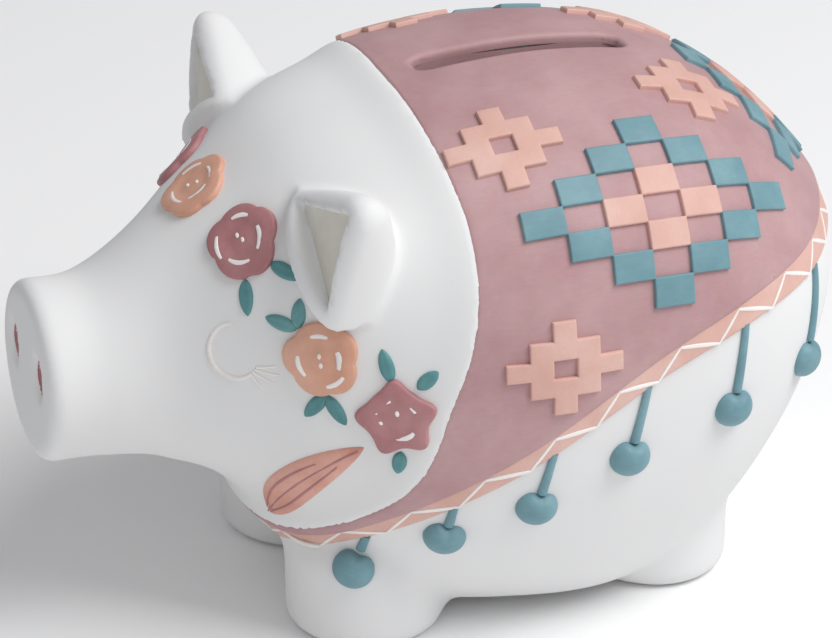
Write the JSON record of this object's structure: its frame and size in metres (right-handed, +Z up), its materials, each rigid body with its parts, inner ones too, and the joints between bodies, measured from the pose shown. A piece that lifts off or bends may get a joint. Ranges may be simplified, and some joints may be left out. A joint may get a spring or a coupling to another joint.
{
  "type": "piggy bank",
  "caption": "Hollow pig-shaped money bank with a coin slot in its back, raised painted decoration and a pull-out rubber stopper under its belly.",
  "frame": {"origin": "on the ground below the middle of the pig", "axes": "+Z up, the snout points to -Y, the pig's left side is at +X"},
  "size_m": [0.1058, 0.1577, 0.1031],
  "materials": {
    "white_resin": "white paint on cast polyester resin, matte",
    "mauve_paint": "hand-painted, matte",
    "rose_paint": "hand-painted, matte",
    "peach_paint": "hand-painted, matte",
    "teal_paint": "hand-painted, matte",
    "cream_paint": "hand-painted, matte",
    "grey_rubber": "moulded soft rubber, matte"
  },
  "bodies": {
    "casting": {"body_shell": "white_resin", "poncho": "mauve_paint", "poncho_border": "peach_paint", "cross_left_1": "peach_paint", "cross_left_2": "peach_paint", "cross_left_3": "peach_paint", "cross_right_1": "peach_paint", "cross_right_2": "peach_paint", "cross_right_3": "peach_paint", "diamond_ring_left": "teal_paint", "diamond_core_left": "peach_paint", "diamond_ring_right": "teal_paint", "diamond_core_right": "peach_paint", "diamond_ring_rump": "teal_paint", "diamond_core_rump": "peach_paint", "tassel_left_1": "teal_paint", "tassel_left_2": "teal_paint", "tassel_left_3": "teal_paint", "tassel_left_4": "teal_paint", "tassel_left_5": "teal_paint", "tassel_left_6": "teal_paint", "tassel_right_1": "teal_paint", "tassel_right_2": "teal_paint", "tassel_right_3": "teal_paint", "tassel_right_4": "teal_paint", "tassel_right_5": "teal_paint", "tassel_right_6": "teal_paint", "rose_middle": "peach_paint", "rose_left_1": "rose_paint", "rose_left_2": "peach_paint", "rose_left_3": "rose_paint", "leaf_left_high_front": "teal_paint", "leaf_left_high_rear": "teal_paint", "leaf_left_upper_pair": "teal_paint", "leaf_left_lower_pair": "teal_paint", "leaf_left_low_front": "teal_paint", "leaf_left_low_rear": "teal_paint", "leaf_left_low_under": "teal_paint", "feather_left": "peach_paint", "closed_eye_left": "white_resin", "nostril_left": "rose_paint", "ear_lining_left": "cream_paint", "rose_right_1": "rose_paint", "rose_right_2": "peach_paint", "rose_right_3": "rose_paint", "leaf_right_high_front": "teal_paint", "leaf_right_high_rear": "teal_paint", "leaf_right_upper_pair": "teal_paint", "leaf_right_lower_pair": "teal_paint", "leaf_right_low_front": "teal_paint", "leaf_right_low_rear": "teal_paint", "leaf_right_low_under": "teal_paint", "feather_right": "peach_paint", "closed_eye_right": "white_resin", "nostril_right": "rose_paint", "ear_lining_right": "cream_paint", "curled_tail": "white_resin"},
    "stopper": {"belly_stopper": "grey_rubber"}
  },
  "joints": [
    {"name": "stopper_pull", "type": "slide", "parent": "casting", "child": "stopper", "axis": [0, 0, -1], "range_m": [0, 0.03]}
  ]
}
